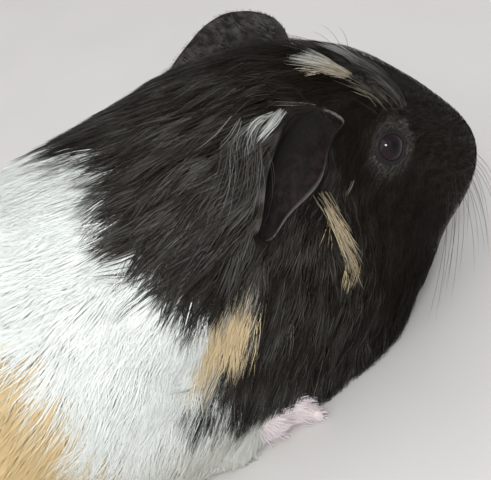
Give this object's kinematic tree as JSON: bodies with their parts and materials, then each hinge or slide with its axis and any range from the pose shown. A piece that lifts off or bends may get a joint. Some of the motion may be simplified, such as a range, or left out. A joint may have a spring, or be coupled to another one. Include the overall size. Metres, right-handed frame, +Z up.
{
  "type": "guinea pig model",
  "caption": "Life-size still model of a long-coated guinea pig in black, white and tan, resting on its belly with its head low.",
  "frame": {"origin": "middle of the underside of the bounding box, on the floor under the belly", "axes": "+X towards the head along the body's length, +Y to the animal's left, +Z up"},
  "size_m": [0.2532, 0.1122, 0.0981],
  "materials": {
    "coat_black": "soft straight fur, brown-black with a grey sheen",
    "coat_white": "soft straight fur, cool white",
    "coat_tan": "soft straight fur, buff to tan",
    "ear_skin": "thin bare skin, dark brown, satin",
    "foot_skin": "pale pink skin under short white hair",
    "claw": "horn, translucent grey-brown",
    "eye": "wet gloss over a dark brown iris"
  },
  "bodies": {
    "root": {"head": "coat_black", "neck": "coat_black", "trunk": "coat_white", "foreleg_left": "foot_skin", "foreleg_right": "foot_skin", "hindleg_left": "coat_tan", "hindleg_right": "coat_tan", "ear_left": "ear_skin", "ear_right": "ear_skin", "eye_left": "eye", "eye_right": "eye"}
  },
  "joints": []
}
